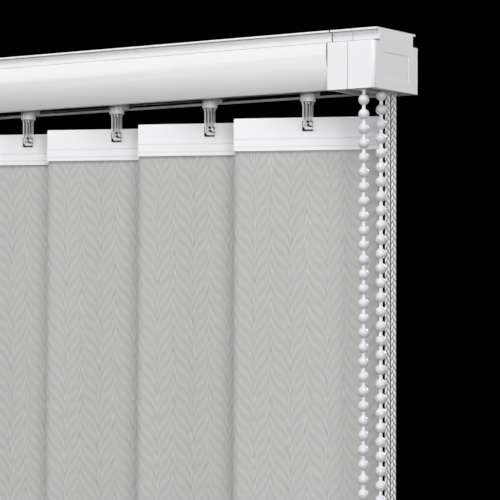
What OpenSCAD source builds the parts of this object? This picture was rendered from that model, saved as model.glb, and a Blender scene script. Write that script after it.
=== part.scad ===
// Vertical blind: headrail with a control unit at its right end, a tilt chain, a
// traverse cord and six fabric slats on geared hooks.
// X along the rail toward the control end, Y to the back, Z up, origin in the
// middle of the rail's top face. Millimetres.

/* [Blind] */
// distance between neighbouring slat centres
slat_pitch = 71; // [66:1:84]
// from an outermost slat centre to the end of the blind
end_margin = 61; // [58:1:80]
// from the rail's top to the lower edge of the slats
drop = 1000; // [800:10:2400]
// turn of the slats out of the rail's line in the rest pose
slat_angle = 22; // [15:1:30]

/* [Headrail] */
// front to back over the body
rail_d = 50; // [48:1:60]
// height of the rail from its top plate to its lips
rail_h = 34.3; // [33:0.1:41]
// front to back over the top plate
plate_d = 44; // [40:1:50]
// thickness of the top plate
plate_t = 1.1; // [0.8:0.1:2]
// front to back over the recessed band under the plate
band_d = 38; // [36:1:42]
// height of the recessed band
band_h = 6.5; // [5:0.1:9]
// front to back over the mouth of the rail
mouth_d = 36; // [35:0.5:40]
// height of the faces' bowed part above the lips
bow_h = 20; // [16:0.5:24]
// wall of the rail and of the moulded ends
wall = 1.4; // [1:0.1:2]
// width of a lip from the mouth's edge to the slot
lip_w = 4; // [3.5:0.1:4.5]
// thickness of the lips
lip_t = 1.2; // [0.8:0.1:2]

/* [Control unit] */
// length of the control unit along the rail
control_l = 31.7; // [30:0.1:44]
// length of its outer cover
cover_l = 17.8; // [17:0.1:24]
// how far the moulded ends reach below the rail
end_drop = 1; // [0:0.1:2]
// open seam between the rail and its moulded ends
seam = 0.4; // [0:0.1:0.6]
// parting line between the control unit's two halves
parting = 0.2; // [0:0.05:0.3]
// radius of the front upright corners of the cover and the end cap
corner_r = 2; // [1:0.5:5]
// radius of their back upright corners
back_r = 0.8; // [0.2:0.1:3]
// width of the shallow panel in the cover's side
panel_w = 28.4; // [20:0.2:32]
// height of the shallow panel in the cover's side
panel_h = 15.4; // [10:0.2:18]
// depth of the shallow panel
panel_depth = 0.2; // [0.1:0.1:0.8]
// length of the end cap at the far end
cap_l = 12; // [9:0.5:20]
// length of the spigots inside the rail
spigot_l = 8; // [6:0.5:12]

/* [Carrier] */
// length of a carrier along the rail
carrier_l = 22; // [21:0.5:24]
// play between a carrier's block and the rail's inner face
carrier_play = 1.4; // [1:0.1:2]
// height of the carrier's upper face under the rail's top
carrier_top = 15.5; // [14:0.5:17]
// height of the carrier's underside under the rail's top
carrier_floor = 31.3; // [30.5:0.1:32]
// diameter of the round neck under a carrier
neck_d = 9.3; // [8.5:0.1:10.5]
// height of the neck's lower end under the rail's top
neck_end = 38.2; // [37:0.1:40]
// width of a spacer strip
spacer_w = 3.8; // [3:0.1:4]
// thickness of a spacer strip
spacer_t = 0.3; // [0.2:0.1:0.3]

/* [Hook and hanger] */
// width of the clear hook along the slat
hook_w = 5.8; // [5:0.1:8]
// thickness of the clear hook through the slat
hook_d = 5.2; // [5:0.1:7]
// lower end of the hook under the rail's top
hook_end = 54.8; // [54:0.2:56]
// lower face of the hook's collar under the rail's top
collar_end = 40; // [39.5:0.1:42]
// upper edge of the hangers under the rail's top
hanger_top = 47.6; // [46.5:0.1:48]
// lower edge of the hangers under the rail's top
hanger_end = 67.2; // [66:0.2:76]
// thickness of a hanger's upper panel
hanger_t = 2; // [1.6:0.1:2.2]

/* [Slat] */
// width of the fabric slats
slat_w = 89; // [79:1:127]
// thickness of the stiffened fabric
slat_t = 0.6; // [0.4:0.1:0.8]
// height of the pocket at a slat's foot
pocket_h = 38; // [30:1:60]
// height of the bottom weights
weight_h = 30; // [20:1:34]
// thickness of the bottom weights
weight_t = 2; // [1.5:0.1:2.2]

/* [Tilt drive] */
// distance of the tilt rod's axis in front of the slat centres
rod_y = 10; // [10:0.1:10.2]
// depth of the tilt rod's axis under the rail's top
rod_z = 20.5; // [20:0.1:21]
// diameter of the tilt rod
rod_d = 5.5; // [5:0.1:5.6]
// teeth of the wheel on a hook's stem
wheel_teeth = 12; // [12:1:12]
// pitch of the worm's thread
worm_pitch = 2.8; // [2.8:0.1:2.8]

/* [Tilt chain] */
// diameter of a chain bead
bead_d = 6.2; // [4.5:0.1:6.6]
// distance of neighbouring beads
bead_pitch = 8.4; // [8.2:0.1:8.4]
// diameter of the chain's links between the beads
link_d = 2; // [1.5:0.1:2.4]
// pockets around the chain wheel
wheel_pockets = 7; // [7:1:7]
// rows of beads that hang in a strand
chain_rows = 80; // [40:1:160]
// distance of the chain and cords from the control unit's end face
drop_in = 10.1; // [9.6:0.1:10.4]

/* [Traverse cord] */
// diameter of the traverse cord
cord_d = 2.8; // [2:0.1:2.8]
// distance of the front strand behind the slat centres
cord_front_y = 7.2; // [7:0.1:7.6]
// distance of the back strand behind the slat centres
cord_back_y = 13.9; // [13.5:0.1:14.2]
// height of the front run under the rail's top
cord_front_z = 8.8; // [8.4:0.1:9.2]
// height of the back run under the rail's top
cord_back_z = 19.3; // [19:0.1:19.6]
// radius of the cord's line on the control pulleys
pulley_r = 4.2; // [4:0.1:4.4]
// depth of the cord weight's top under the rail's top
tassel_top = 700; // [400:10:1500]
// height of the cord weight
tassel_h = 44; // [30:1:60]

/* [Hidden] */

$fn = 48;
fine = 16;
slat_count = 6;
gap = 0.3;
fit = 0.2;
over = 1;
blind_w = (slat_count - 1) * slat_pitch + 2 * end_margin;
x_end = blind_w / 2;
rail_x0 = -x_end + cap_l;
rail_x1 = x_end - control_l;
rail_l = rail_x1 - rail_x0;
cover_x = x_end - cover_l;
ledge_z = plate_t + band_h;
end_h = rail_h + end_drop;
sag = (rail_d - mouth_d) / 2;
bow_z = rail_h - bow_h;
bow_r = (bow_h * bow_h + sag * sag) / (2 * sag);
lip_top = rail_h - lip_t;
slot_w = mouth_d - 2 * lip_w;
edge_r = 0.2;

// half the rail's inner width at a height of the bowed part
function inner_half(z) = rail_d / 2 - bow_r + sqrt(pow(bow_r - wall, 2) - pow(z - bow_z, 2));

carrier_r = 2;
carrier_d = 2 * (inner_half(carrier_floor) - carrier_play);
foot_in = slot_w / 2 + gap;
foot_w = inner_half(lip_top) - 2 * gap - foot_in;
foot_h = 5;
foot_l = carrier_l - 2;
stem_r = 2.5;
neck_bore = stem_r + gap;
thrust_r = 4.6;
thrust_t = 0.7;

face_t = 3.6;
gear_pitch_r = wheel_teeth * worm_pitch / 360 * 180 / PI;
gear_tip_r = gear_pitch_r + 0.85;
gear_root_r = gear_pitch_r - 1.05;
tooth_tip = 0.7;
tooth_root = 1;
gear_pocket_r = gear_tip_r + 0.5;
gear_floor = rod_z + face_t / 2 + thrust_t + fit;

worm_tip_r = 5.5;
worm_root_r = 3.6;
thread_l = 7;
thread_tip = 0.7;
thread_root = 1.4;
thread_step = 36;
thread_sink = 0.4;
half_share = 0.5;
worm_l = 20;
flange_in = 5.6;
flange_t = 1.3;
flange_r = 5;
worm_room = flange_in + flange_t + gap;
worm_pocket_r = worm_tip_r + 0.4;
journal_bore = worm_root_r + gap;
key_r = 0.7;
rod_r = rod_d / 2;
rod_bore = rod_r + fit;

chain_x = x_end - drop_in;
chain_r = bead_pitch / 2 / sin(180 / wheel_pockets);
bead_r = bead_d / 2;
link_r = link_d / 2;
pocket_step = 360 / wheel_pockets;
rim_r = chain_r + 0.9;
rim_t = bead_d + 3.2;
pocket_r = bead_r + 2 * gap;
groove_r = link_r + 0.6;
groove_in = chain_r * cos(pocket_step / 2) - link_r - gap;
end_d = max(rail_d, 2 * (rod_y + chain_r + bead_r + wall + gap));
hub_r = 4.6;
hub_x = cover_x - 2;
web_t = 1.8;
stub_r = 3;
stub_l = 3.2;
boss_r = 5;

cord_r = cord_d / 2;
cord_x = chain_x;
pulley_x = cord_x - pulley_r;
pulley_rim = pulley_r + 1.6;
pulley_t = 4.8;
groove_gap = cord_r + gap;
pin_r = 1.5;
pin_bore = pin_r + gap;
front_pin_z = cord_front_z + pulley_r;
back_pin_z = cord_back_z + pulley_r;
cord_exit = end_h - wall;
turn_y = (cord_front_y + cord_back_y) / 2;
turn_z = (cord_front_z + cord_back_z) / 2;
turn_dy = cord_back_y - cord_front_y;
turn_dz = cord_back_z - cord_front_z;
turn_r = sqrt(turn_dy * turn_dy + turn_dz * turn_dz) / 2;
turn_tilt = atan2(turn_dz, turn_dy);
turn_x = rail_x0 + 15;
turn_rim = turn_r + 1.4;
cheek_in = pulley_t / 2 + gap;
cheek_t = 1.5;
cheek_w = 7;

boss_in = 5.1;
boss_out = 10.9;
boss_l = 10;
boss_end = 34.6;
strip_y = 8;
strip_low = 34.0;
strip_step = 0.62;
strip_room_w = spacer_w + 2 * fit;
strip_over = carrier_l / 2 + 2;
strip_tail = boss_l / 2 + 1;

hanger_w = slat_w + 2 * gap;
fork_gap = hanger_t + 2 * fit;
fork_top = hanger_top - gap;
groove_w = 1.7;
groove_depth = 0.9;
groove_top = collar_end + 1;
groove_end = hanger_top + 1.6;
window_w = 3.2;
window_h = 3;
window_z = hook_end - 1.5 - window_h;
collar_r = 3.7;
barb_w = 3.2;
barb_h = 2.6;
barb_z = hanger_top + 2.1;
eye_w = 6.6;
eye_h = 6.1;
eye_top = barb_z - 0.1;
ridge_1 = hanger_top + 12.3;
ridge_2 = hanger_top + 17.1;
ridge_t = 0.28;
hanger_slot = slat_t / 2 + fit;
hanger_slot_top = ridge_1 - 1.4;
hanger_r = 0.8;
slat_top = hanger_slot_top + 0.4;
pocket_in = weight_t / 2 + gap;
pocket_out = pocket_in + slat_t;
pocket_slope = 6;
weight_r = 3;
weight_inset = 2.5;
weight_w = slat_w - 2 * weight_inset;
weight_lift = slat_t + gap;

tassel_w = 20;
tassel_d = 11;
tassel_r = 4;
tassel_bore = cord_r + fit;
cord_into = 5;
clamp_w = 5.4;
clamp_l = 8;
clamp_h = 6.4;
clamp_screw_r = 1.7;
clamp_screw_h = 1.2;

slat_x = [for (k = [0 : slat_count - 1]) -x_end + end_margin + k * slat_pitch];

white = [0.93, 0.93, 0.94];
plastic = [0.9, 0.9, 0.91];
fabric = [0.72, 0.73, 0.73];
steel = [0.62, 0.63, 0.65];
clear = [0.85, 0.88, 0.9];

// a profile drawn in Y and Z, extruded along X
module along_x(x0, len) {
    translate([x0, 0, 0])
        rotate([90, 0, 90])
            linear_extrude(height = len)
                children();
}

// a profile drawn in X and Z, extruded along Y
module along_y(y0, len) {
    translate([0, y0 + len, 0])
        rotate([90, 0, 0])
            linear_extrude(height = len)
                children();
}

// a round bar along X at a height and depth
module bar_x(x0, len, r, y, z) {
    translate([x0, y, z])
        rotate([0, 90, 0])
            cylinder(r = r, h = len);
}

// a round bar along Y at a place and height
module bar_y(y0, len, r, x, z) {
    translate([x, y0 + len, z])
        rotate([90, 0, 0])
            cylinder(r = r, h = len);
}

// a rectangle between two depths and two heights
module span(u0, u1, low, high) {
    translate([u0, low])
        square([u1 - u0, high - low]);
}

// a rectangle with round corners about the middle
module round_rect(w, d, r) {
    square([w - 2 * r, d], center = true);
    square([w, d - 2 * r], center = true);
    for (sx = [-1, 1])
        for (sy = [-1, 1])
            translate([sx * (w / 2 - r), sy * (d / 2 - r)])
                circle(r = r, $fn = fine);
}

// the rail's body between its two faces, upright above and bowed in below, set in by a wall
module bowed(inset, high, low) {
    span(-rail_d / 2 + inset, rail_d / 2 - inset, -bow_z, -high);
    intersection() {
        span(-rail_d / 2 + inset, rail_d / 2 - inset, -low, -bow_z);
        translate([rail_d / 2 - bow_r, -bow_z])
            circle(r = bow_r - inset, $fn = 180);
        translate([bow_r - rail_d / 2, -bow_z])
            circle(r = bow_r - inset, $fn = 180);
    }
}

// the hollow of the rail
module rail_hollow(inset) {
    span(-band_d / 2 + inset, band_d / 2 - inset, -ledge_z - inset - over, -plate_t - inset + wall);
    bowed(inset, ledge_z + inset, lip_top - inset + wall);
}

// the extruded rail with its plate, band, bowed faces and lips
module headrail() {
    color(white)
        along_x(rail_x0 + seam, rail_l - 2 * seam)
            difference() {
                union() {
                    span(-plate_d / 2, plate_d / 2, -plate_t, 0);
                    span(-band_d / 2, band_d / 2, -ledge_z - wall / 2, -plate_t / 2);
                    bowed(0, ledge_z, rail_h);
                }
                rail_hollow(wall);
                span(-slot_w / 2, slot_w / 2, -rail_h - over, -lip_top + over);
            }
}

// the moulded outside of an end: plate, band and a body with two round corners
module end_outside(x0, len, front, back) {
    translate([x0, -plate_d / 2, -plate_t])
        cube([len, plate_d, plate_t]);
    translate([x0, -band_d / 2, -ledge_z - wall / 2])
        cube([len, band_d, band_h + wall / 2 + plate_t / 2]);
    translate([x0, 0, -end_h])
        linear_extrude(height = end_h - ledge_z)
            union() {
                translate([0, -end_d / 2])
                    square([len - front, end_d / 2]);
                square([len - back, end_d / 2]);
                translate([0, -end_d / 2 + front])
                    square([len, end_d - front - back]);
                translate([len - front, -end_d / 2 + front])
                    circle(r = front);
                translate([len - back, end_d / 2 - back])
                    circle(r = back);
            }
}

// the hollow of an end
module end_hollow(x0, len, low) {
    translate([x0, -end_d / 2 + wall, -low])
        cube([len, end_d - 2 * wall, low - ledge_z - wall]);
    translate([x0, -band_d / 2 + wall, -ledge_z - 2 * wall])
        cube([len, band_d - 2 * wall, ledge_z - plate_t + wall]);
}

// a ring that plugs into the rail's end, open at the slot
module spigot(x0) {
    along_x(x0, spigot_l)
        difference() {
            rail_hollow(wall + fit);
            rail_hollow(2 * wall + fit);
            span(-slot_w / 2, slot_w / 2, -rail_h - over, -lip_top + 2 * wall);
        }
}

// inner half of the control unit: end wall, bearing web and spigot
module control_housing() {
    color(plastic)
        difference() {
            union() {
                difference() {
                    end_outside(rail_x1, control_l - cover_l - parting, edge_r, edge_r);
                    end_hollow(rail_x1 + wall, control_l, end_h + over);
                }
                translate([cover_x - parting - web_t, -end_d / 2 + wall / 2, -end_h + wall])
                    cube([web_t, end_d / 2 + cord_front_y - pulley_t, end_h - ledge_z - wall]);
                spigot(rail_x1 - spigot_l);
            }
            bar_x(rail_x1 - over, control_l, hub_r + gap, -rod_y, -rod_z);
            bar_x(rail_x1 - over, wall + 2 * over, 2 * cord_r, cord_front_y, -cord_front_z);
            bar_x(rail_x1 - over, wall + 2 * over, 2 * cord_r, cord_back_y, -cord_back_z);
        }
}

// outer cover of the control unit: side panel, chain slot, cord eyes and pin bosses
module control_cover() {
    color(plastic)
        difference() {
            union() {
                difference() {
                    end_outside(cover_x, cover_l, corner_r, back_r);
                    end_hollow(cover_x - over, cover_l + over - wall, end_h - wall);
                }
                bar_x(chain_x + rim_t / 2 + over, drop_in - rim_t / 2 - over - wall / 2, boss_r, -rod_y, -rod_z);
                bar_y(cord_front_y + pulley_t / 2 + gap, end_d / 2 - cord_front_y - pulley_t / 2 - wall,
                      2 * pin_r, pulley_x, -front_pin_z);
                bar_y(cord_back_y + pulley_t / 2 + gap, end_d / 2 - cord_back_y - pulley_t / 2 - wall,
                      2 * pin_r, pulley_x, -back_pin_z);
            }
            bar_x(chain_x, drop_in - wall, stub_r + gap, -rod_y, -rod_z);
            bar_y(cord_front_y, end_d / 2 - cord_front_y - wall, pin_r, pulley_x, -front_pin_z);
            bar_y(cord_front_y, end_d / 2 - cord_front_y - wall, pin_r, pulley_x, -back_pin_z);
            translate([chain_x, -rod_y, -end_h - over])
                linear_extrude(height = wall + 2 * over)
                    round_rect(bead_d + 3, 2 * chain_r + bead_d + 2, fine / 4);
            for (y = [cord_front_y, cord_back_y])
                translate([cord_x, y, -end_h - over])
                    cylinder(r = cord_r + 2 * gap, h = wall + 2 * over);
            along_x(x_end - panel_depth, over)
                translate([0, -ledge_z - (end_h - ledge_z) / 2])
                    round_rect(panel_w, panel_h, over);
        }
}

// closed far end with the rod's bearing and the cheeks of the return pulley
module far_end_cap() {
    color(plastic)
        difference() {
            union() {
                mirror([1, 0, 0])
                    end_outside(x_end - cap_l, cap_l, corner_r, back_r);
                spigot(rail_x0);
                bar_x(rail_x0 - wall, spigot_l, boss_r, -rod_y, -rod_z);
                for (s = [-1, 1])
                    translate([rail_x0 - wall, turn_y, -turn_z])
                        rotate([-turn_tilt, 0, 0])
                            translate([0, -cheek_w / 2, s * (cheek_in + cheek_t / 2) - cheek_t / 2])
                                cube([turn_x - rail_x0 + wall + 4 * pin_r, cheek_w, cheek_t]);
            }
            end_hollow(-x_end + wall, cap_l - 3 * wall, end_h - wall);
            bar_x(rail_x0, spigot_l, rod_bore, -rod_y, -rod_z);
            translate([turn_x, turn_y, -turn_z])
                rotate([-turn_tilt, 0, 0])
                    cylinder(r = pin_r, h = 4 * pulley_t, center = true);
        }
}

// section of the tilt rod with three keyways
module rod_section(r) {
    difference() {
        circle(r = r, $fn = 36);
        for (a = [0 : 120 : 240])
            rotate(a)
                translate([r, 0])
                    circle(r = key_r, $fn = fine);
    }
}

// splined rod that turns the worms
module tilt_rod() {
    color(steel)
        translate([rail_x0 + gap, -rod_y, -rod_z])
            rotate([90, 0, 90])
                linear_extrude(height = chain_x + rim_t / 4 - rail_x0)
                    rod_section(rod_r);
}

// wheel with a pocket open outward for each bead and a groove for the links
module chain_wheel() {
    color(plastic)
        difference() {
            union() {
                bar_x(chain_x - rim_t / 2, rim_t, rim_r, -rod_y, -rod_z);
                bar_x(hub_x - over, chain_x - hub_x, hub_r, -rod_y, -rod_z);
                bar_x(chain_x, rim_t / 2 + stub_l, stub_r, -rod_y, -rod_z);
            }
            bar_x(hub_x - 2 * over, chain_x + rim_t / 4 - hub_x + 2 * over + gap, rod_r + fit / 2, -rod_y, -rod_z);
            translate([chain_x, -rod_y, -rod_z])
                rotate([0, 90, 0])
                    rotate_extrude($fn = 72)
                        union() {
                            translate([groove_in + groove_r, 0])
                                circle(r = groove_r, $fn = fine);
                            translate([groove_in + groove_r, -groove_r])
                                square([rim_r, 2 * groove_r]);
                        }
            for (k = [0 : wheel_pockets - 1])
                translate([chain_x, -rod_y, -rod_z])
                    rotate([k * pocket_step, 0, 0])
                        translate([0, chain_r, 0]) {
                            sphere(r = pocket_r);
                            rotate([-90, 0, 0])
                                cylinder(r = pocket_r, h = rim_r);
                        }
        }
}

// centre of a bead on the upper or lower bend of the chain
function bend_point(k, way) = [-rod_y + chain_r * cos(k * pocket_step), way * chain_r * sin(k * pocket_step)];

// a link from one point of the chain's plane to the next
module link(a, b) {
    d = b - a;
    translate([chain_x, a[0], a[1]])
        rotate([-atan2(d[0], d[1]), 0, 0])
            cylinder(r = link_r, h = norm(d), $fn = fine);
}

// one strand of beads on its cord
module strand(y, top, rows) {
    for (k = [0 : rows - 1])
        translate([chain_x, y, top - k * bead_pitch])
            sphere(r = bead_r, $fn = fine);
    translate([chain_x, y, top - (rows - 1) * bead_pitch])
        cylinder(r = link_r, h = (rows - 1) * bead_pitch, $fn = fine);
}

// endless bead chain over the wheel
module tilt_chain() {
    low = -rod_z - chain_rows * bead_pitch;
    front = -rod_y - chain_r;
    half = bead_pitch / 2;
    color(white)
        union() {
            strand(-rod_y + chain_r, -rod_z, chain_rows + 1);
            strand(front, -rod_z - half, chain_rows);
            for (k = [1 : 3]) {
                upper = bend_point(k, 1) + [0, -rod_z];
                lower = bend_point(k, -1) + [0, low];
                translate([chain_x, upper[0], upper[1]])
                    sphere(r = bead_r, $fn = fine);
                translate([chain_x, lower[0], lower[1]])
                    sphere(r = bead_r, $fn = fine);
                link(bend_point(k - 1, 1) + [0, -rod_z], upper);
                link(bend_point(k - 1, -1) + [0, low], lower);
            }
            link(bend_point(3, 1) + [0, -rod_z], [front, -rod_z - half]);
            link(bend_point(3, -1) + [0, low], [front, low + half]);
        }
}

// a grooved pulley about its own upright axis
module pulley(line_r, rim) {
    rotate_extrude()
        difference() {
            translate([pin_bore, -pulley_t / 2])
                square([rim - pin_bore, pulley_t]);
            translate([line_r, 0])
                circle(r = groove_gap, $fn = 2 * fine);
            translate([line_r, -groove_gap])
                square([rim, 2 * groove_gap]);
        }
}

// pulley of the front strand
module cord_pulley_front() {
    color(plastic)
        translate([pulley_x, cord_front_y, -front_pin_z])
            rotate([90, 0, 0])
                pulley(pulley_r, pulley_rim);
}

// pulley of the back strand
module cord_pulley_back() {
    color(plastic)
        translate([pulley_x, cord_back_y, -back_pin_z])
            rotate([90, 0, 0])
                pulley(pulley_r, pulley_rim);
}

// the two pins that the control pulleys turn on
module pulley_pins() {
    color(steel)
        union() {
            bar_y(cord_front_y - pulley_t / 2, end_d / 2 - wall - cord_front_y + pulley_t / 2,
                  pin_r, pulley_x, -front_pin_z);
            bar_y(cord_back_y - pulley_t / 2, end_d / 2 - wall - cord_back_y + pulley_t / 2,
                  pin_r, pulley_x, -back_pin_z);
        }
}

// pulley that turns the cord back at the far end
module return_pulley() {
    color(plastic)
        translate([turn_x, turn_y, -turn_z])
            rotate([-turn_tilt, 0, 0])
                pulley(turn_r, turn_rim);
}

// pin of the return pulley
module return_pin() {
    color(steel)
        translate([turn_x, turn_y, -turn_z])
            rotate([-turn_tilt, 0, 0])
                cylinder(r = pin_r, h = 2 * (cheek_in + cheek_t), center = true);
}

// the cord's line inside the rail, from the front eye to the back eye
bend_steps = [0 : 15 : 90];
turn_steps = [-90 : -15 : -270];
cord_line = concat(
    [[cord_x, cord_front_y, -cord_exit]],
    [for (a = bend_steps) [pulley_x + pulley_r * cos(a), cord_front_y, -front_pin_z + pulley_r * sin(a)]],
    [for (a = turn_steps) [turn_x + turn_r * cos(a),
                           turn_y + turn_r * sin(a) * cos(turn_tilt),
                           -turn_z - turn_r * sin(a) * sin(turn_tilt)]],
    [for (a = bend_steps) [pulley_x + pulley_r * sin(a), cord_back_y, -back_pin_z + pulley_r * cos(a)]],
    [[cord_x, cord_back_y, -cord_exit]]);

cord_sides = 8;

function unit(v) = v / norm(v);
function tangent(line, k) = unit(line[min(k + 1, len(line) - 1)] - line[max(k - 1, 0)]);

// first side of a ring, carried along the line without twist
function carry(side, t) = unit(side - (side * t) * t);
function sides(line, k, side) =
    k == len(line) ? [] : concat([carry(side, tangent(line, k))],
                                 sides(line, k + 1, carry(side, tangent(line, k))));

// a round tube of flat facets along a line
module tube(line, r, side) {
    n = len(line);
    u = sides(line, 0, side);
    rings = [for (k = [0 : n - 1])
                for (j = [0 : cord_sides - 1])
                    let (a = j * 360 / cord_sides, v = cross(tangent(line, k), u[k]))
                        line[k] + r * (cos(a) * u[k] + sin(a) * v)];
    skin = [for (k = [0 : n - 2])
               for (j = [0 : cord_sides - 1])
                   let (p = k * cord_sides + j, q = k * cord_sides + (j + 1) % cord_sides)
                       [p, p + cord_sides, q + cord_sides, q]];
    first = [[for (j = [0 : cord_sides - 1]) j]];
    last = [[for (j = [cord_sides - 1 : -1 : 0]) (n - 1) * cord_sides + j]];
    polyhedron(points = rings, faces = concat(skin, first, last), convexity = 4);
}

// traverse cord inside the rail
module rail_cord() {
    color(white)
        tube(cord_line, cord_r, [0, 1, 0]);
}

// a hanging strand of the traverse cord, from its eye into the cord weight
module hanging_strand(y) {
    foot = tassel_top + cord_into;
    line = [[cord_x, y, -cord_exit], [cord_x, y, -(cord_exit + foot) / 2], [cord_x, y, -foot]];
    color(white)
        tube(line, cord_r, [0, 1, 0]);
}

// weight on the two strands
module cord_weight() {
    color(white)
        difference() {
            translate([cord_x, turn_y, -tassel_top - tassel_h])
                linear_extrude(height = tassel_h)
                    round_rect(tassel_d, tassel_w, tassel_r);
            for (y = [cord_front_y, cord_back_y])
                translate([cord_x, y, -tassel_top - cord_into - over])
                    cylinder(r = tassel_bore, h = cord_into + 2 * over);
        }
}

// block that grips the back run in the leading carrier
module cord_clamp() {
    color(steel)
        translate([slat_x[0], cord_back_y, -cord_back_z])
            difference() {
                union() {
                    translate([-clamp_l / 2, -clamp_w / 2, -cord_r - over])
                        cube([clamp_l, clamp_w, clamp_h]);
                    translate([0, 0, clamp_h - cord_r - over])
                        cylinder(r = clamp_screw_r, h = clamp_screw_h);
                }
                bar_x(-clamp_l, 2 * clamp_l, cord_r + gap, 0, 0);
            }
}

// sliding carrier with its neck, gear room, worm bearings and spacer clip
module carrier(k) {
    color(plastic)
        translate([slat_x[k - 1], 0, 0])
            difference() {
                union() {
                    translate([0, 0, -carrier_floor])
                        linear_extrude(height = carrier_floor - carrier_top)
                            round_rect(carrier_l, carrier_d, carrier_r);
                    for (s = [-1, 1])
                        translate([-foot_l / 2, s * (foot_in + foot_w / 2) - foot_w / 2, -lip_top + fit])
                            cube([foot_l, foot_w, foot_h]);
                    translate([0, 0, -neck_end])
                        cylinder(d = neck_d, h = neck_end - carrier_floor + over);
                    translate([-boss_l / 2, boss_in, -boss_end])
                        cube([boss_l, boss_out - boss_in, boss_end - carrier_floor + over]);
                }
                translate([0, 0, -neck_end - over])
                    cylinder(r = neck_bore, h = neck_end);
                translate([0, 0, -gear_floor])
                    cylinder(r = gear_pocket_r, h = gear_floor);
                translate([-worm_room, -rod_y - worm_pocket_r, -rod_z])
                    cube([2 * worm_room, 2 * worm_pocket_r, rod_z]);
                bar_x(-worm_room, 2 * worm_room, worm_pocket_r, -rod_y, -rod_z);
                bar_x(-carrier_l, 2 * carrier_l, journal_bore, -rod_y, -rod_z);
                translate([-carrier_l, -rod_y - journal_bore, -rod_z])
                    cube([2 * carrier_l, 2 * journal_bore, rod_z]);
                translate([-carrier_l, cord_back_y - clamp_w / 2 - fit / 2, -cord_back_z - cord_r - over - fit / 2])
                    cube([2 * carrier_l, clamp_w + fit, rod_z]);
                translate([-boss_l, strip_y - strip_room_w / 2, -strip_low - spacer_t - fit / 2])
                    cube([2 * boss_l, strip_room_w, slat_count * strip_step - fit]);
            }
}

// steel strip that sets the distance to the next carrier
module spacer(k) {
    color(steel)
        translate([slat_x[k - 1] - slat_pitch - strip_over, strip_y - spacer_w / 2,
                   -strip_low - spacer_t + (k - 2) * strip_step])
            cube([slat_pitch + strip_over + strip_tail, spacer_w, spacer_t]);
}

// radius of the worm's thread at an angle around its axis; its foot sinks into the core
thread_share = [thread_root / worm_pitch * 180, thread_tip / worm_pitch * 180];
function worm_radius(a) =
    let (off = abs(a > 180 ? a - 360 : a))
        off <= thread_share[1] ? worm_tip_r :
        off >= thread_share[0] ? worm_root_r - thread_sink :
        worm_tip_r - (worm_tip_r - worm_root_r) * (off - thread_share[1]) / (thread_share[0] - thread_share[1]);
worm_angles = [0, 22, 45, 67, 94, 130, 163, 197, 230, 266, 293, 315, 338];

// one-start thread along its own upright axis, as rings of points that turn with the height
module thread() {
    n = len(worm_angles);
    steps = ceil(thread_l / worm_pitch * 360 / thread_step);
    points = [for (i = [0 : steps])
                 for (a = worm_angles)
                     let (z = thread_l * (i / steps - half_share), turn = a + 180 + 360 * z / worm_pitch)
                         [worm_radius(a) * cos(turn), worm_radius(a) * sin(turn), z]];
    near = [for (i = [0 : steps - 1])
               for (j = [0 : n - 1])
                   [i * n + j, i * n + j + n, i * n + (j + 1) % n]];
    far = [for (i = [0 : steps - 1])
              for (j = [0 : n - 1])
                  [i * n + j + n, i * n + n + (j + 1) % n, i * n + (j + 1) % n]];
    low = [[for (j = [0 : n - 1]) j]];
    high = [[for (j = [n - 1 : -1 : 0]) steps * n + j]];
    polyhedron(points = points, faces = concat(near, far, low, high), convexity = 6);
}

// worm on the tilt rod: thread between two flanges
module worm(k) {
    color(plastic)
        translate([slat_x[k - 1], -rod_y, -rod_z])
            rotate([90, 0, 90])
                difference() {
                    union() {
                        thread();
                        translate([0, 0, -worm_l / 2])
                            cylinder(r = worm_root_r, h = worm_l);
                        for (s = [-1, 1])
                            translate([0, 0, s * (flange_in + flange_t / 2) - flange_t / 2])
                                cylinder(r = flange_r, h = flange_t);
                    }
                    translate([0, 0, -worm_l])
                        linear_extrude(height = 2 * worm_l)
                            rod_section(rod_bore);
                }
}

// one tooth of the wheel on the stem
module tooth() {
    polygon([[-tooth_root / 2, gear_root_r - over], [-tooth_root / 2, gear_root_r], [-tooth_tip / 2, gear_tip_r],
             [tooth_tip / 2, gear_tip_r], [tooth_root / 2, gear_root_r], [tooth_root / 2, gear_root_r - over]]);
}

// clear hook: toothed wheel, stem, collar and a fork with a barb
module hook(k) {
    color(clear)
        translate([slat_x[k - 1], 0, 0])
            union() {
                translate([0, 0, -rod_z - face_t / 2])
                    linear_extrude(height = face_t)
                        union() {
                            circle(r = gear_root_r);
                            for (j = [0 : wheel_teeth - 1])
                                rotate(180 + j * 360 / wheel_teeth)
                                    tooth();
                        }
                translate([0, 0, -rod_z - face_t / 2 - thrust_t])
                    cylinder(r = thrust_r, h = thrust_t + over);
                translate([0, 0, -collar_end])
                    cylinder(r = stem_r, h = collar_end - rod_z);
                translate([0, 0, -collar_end])
                    cylinder(r = collar_r, h = collar_end - neck_end - gap);
                rotate([0, 0, slat_angle])
                    fork();
            }
}

// fork of a hook, open below, with grooves, a window and a barb
module fork() {
    difference() {
        translate([0, 0, -hook_end])
            linear_extrude(height = hook_end - collar_end + over / 2)
                round_rect(hook_w, hook_d, over / 2);
        translate([-hook_w, -fork_gap / 2, -hook_end - over])
            cube([2 * hook_w, fork_gap, hook_end + over - fork_top]);
        for (s = [-1, 1])
            translate([-groove_w / 2, s * hook_d / 2 - groove_depth, -groove_end])
                cube([groove_w, 2 * groove_depth, groove_end - groove_top]);
        translate([-window_w / 2, -hook_d, -window_z - window_h])
            cube([window_w, hook_d, window_h]);
    }
    translate([-barb_w / 2, -hanger_t / 2 + fit, -barb_z - barb_h])
        cube([barb_w, hook_d / 2 + hanger_t / 2 - fit - over / 2, barb_h]);
}

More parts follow.
